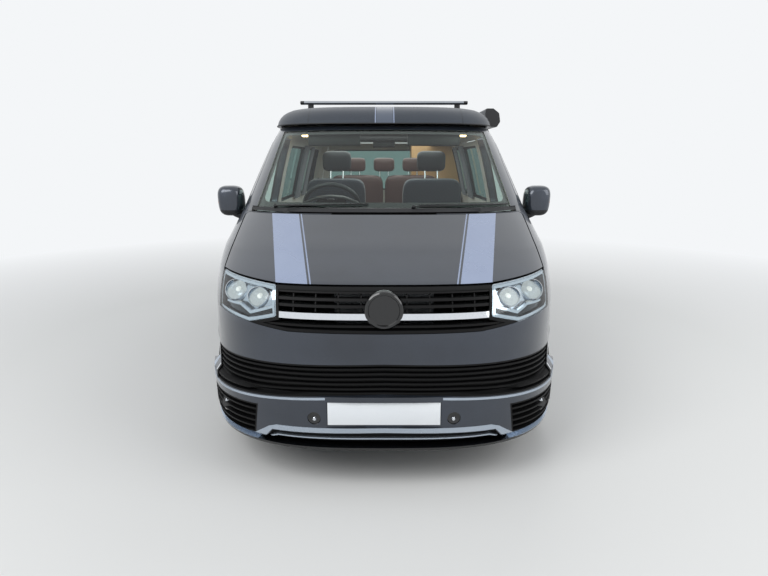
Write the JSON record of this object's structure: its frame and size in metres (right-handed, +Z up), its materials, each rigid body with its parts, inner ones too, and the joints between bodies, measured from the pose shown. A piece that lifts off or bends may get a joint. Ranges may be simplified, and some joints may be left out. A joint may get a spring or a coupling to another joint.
{
  "type": "camper van",
  "caption": "Compact camper van with hinged cab doors, tailgate, bonnet, elevating roof, side awning, steered wheels and a fitted cabin.",
  "frame": {"origin": "centre of the bounding box's base, on the ground", "axes": "+Z up, +Y from the nose towards the tail, +X towards the vehicle's left side"},
  "size_m": [2.2, 4.95, 1.991],
  "materials": {
    "body_paint": "metallic clear coat",
    "black_plastic": "grained",
    "chassis_steel": "satin",
    "lamp_lens": "clear",
    "red_lens": "clear red",
    "glass": "tinted",
    "canvas": "woven",
    "aluminium": "satin",
    "tyre": "matt",
    "seat_cloth": "woven",
    "wood": "satin"
  },
  "bodies": {
    "root": {"side_left": "body_paint", "side_right": "body_paint", "roof_frame": "body_paint", "floor_structure": "chassis_steel", "wing_left": "body_paint", "wing_right": "body_paint", "front_bumper": "body_paint", "upper_grille": "black_plastic", "rear_bumper": "body_paint", "headlamp_left": "lamp_lens", "headlamp_right": "lamp_lens", "tail_lamp_left": "red_lens", "tail_lamp_right": "red_lens", "windscreen": "glass", "middle_glass_right": "glass", "quarter_glass_left": "glass", "quarter_glass_right": "glass", "sliding_door": "body_paint", "sliding_door_glass": "glass", "canvas": "canvas", "awning": "aluminium", "engine": "chassis_steel", "radiator": "black_plastic", "fuel_tank": "black_plastic", "front_axle": "chassis_steel", "rear_axle": "chassis_steel", "exhaust": "chassis_steel", "front_seat_left": "seat_cloth", "front_seat_right": "seat_cloth", "rear_bench": "seat_cloth", "dashboard": "black_plastic", "kitchen_unit": "wood", "wardrobe": "wood"},
    "door_left": {"front_door_left": "body_paint", "door_glass_left": "glass", "mirror_left": "body_paint"},
    "door_right": {"front_door_right": "body_paint", "door_glass_right": "glass", "mirror_right": "body_paint"},
    "bonnet": {"bonnet": "body_paint"},
    "tailgate": {"tailgate": "body_paint", "tailgate_glass": "glass"},
    "lid": {"pop_roof": "body_paint", "roof_bar_front": "aluminium", "roof_bar_rear": "aluminium"},
    "knuckle_left": {"knuckle_left": "chassis_steel"},
    "knuckle_right": {"knuckle_right": "chassis_steel"},
    "wheel_front_left": {"tyre_front_left": "tyre", "rim_front_left": "aluminium"},
    "wheel_front_right": {"tyre_front_right": "tyre", "rim_front_right": "aluminium"},
    "wheel_rear_left": {"tyre_rear_left": "tyre", "rim_rear_left": "aluminium"},
    "wheel_rear_right": {"tyre_rear_right": "tyre", "rim_rear_right": "aluminium"}
  },
  "joints": [
    {"name": "left_door_hinge", "type": "hinge", "parent": "root", "child": "door_left", "pos_m": [0.95, -1.304, 1], "axis": [0.0995, 0, -0.995], "range_deg": [0, 65]},
    {"name": "right_door_hinge", "type": "hinge", "parent": "root", "child": "door_right", "pos_m": [-0.95, -1.304, 1], "axis": [0.0995, 0, 0.995], "range_deg": [0, 65]},
    {"name": "bonnet_hinge", "type": "hinge", "parent": "root", "child": "bonnet", "pos_m": [0, -1.426, 1.238], "axis": [-1, 0, 0], "range_deg": [0, 50]},
    {"name": "tailgate_hinge", "type": "hinge", "parent": "root", "child": "tailgate", "pos_m": [0, 2.2665, 1.738], "axis": [1, 0, 0], "range_deg": [0, 82]},
    {"name": "roof_hinge", "type": "hinge", "parent": "root", "child": "lid", "pos_m": [0, 1.9874, 1.771], "axis": [-1, 0, 0], "range_deg": [0, 22]},
    {"name": "left_steer", "type": "hinge", "parent": "root", "child": "knuckle_left", "pos_m": [0.774, -1.522, 0.343], "axis": [0, 0, 1], "range_deg": [-35, 35]},
    {"name": "right_steer", "type": "hinge", "parent": "root", "child": "knuckle_right", "pos_m": [-0.774, -1.522, 0.343], "axis": [0, 0, 1], "range_deg": [-35, 35]},
    {"name": "front_left_wheel_spin", "type": "hinge", "parent": "knuckle_left", "child": "wheel_front_left", "pos_m": [0.814, -1.522, 0.343], "axis": [1, 0, 0], "continuous": true},
    {"name": "rear_left_wheel_spin", "type": "hinge", "parent": "root", "child": "wheel_rear_left", "pos_m": [0.814, 1.478, 0.343], "axis": [1, 0, 0], "continuous": true},
    {"name": "front_right_wheel_spin", "type": "hinge", "parent": "knuckle_right", "child": "wheel_front_right", "pos_m": [-0.814, -1.522, 0.343], "axis": [1, 0, 0], "continuous": true},
    {"name": "rear_right_wheel_spin", "type": "hinge", "parent": "root", "child": "wheel_rear_right", "pos_m": [-0.814, 1.478, 0.343], "axis": [1, 0, 0], "continuous": true}
  ],
  "couplings": [
    {"joint": "right_steer", "follows": "left_steer", "ratio": 1}
  ]
}
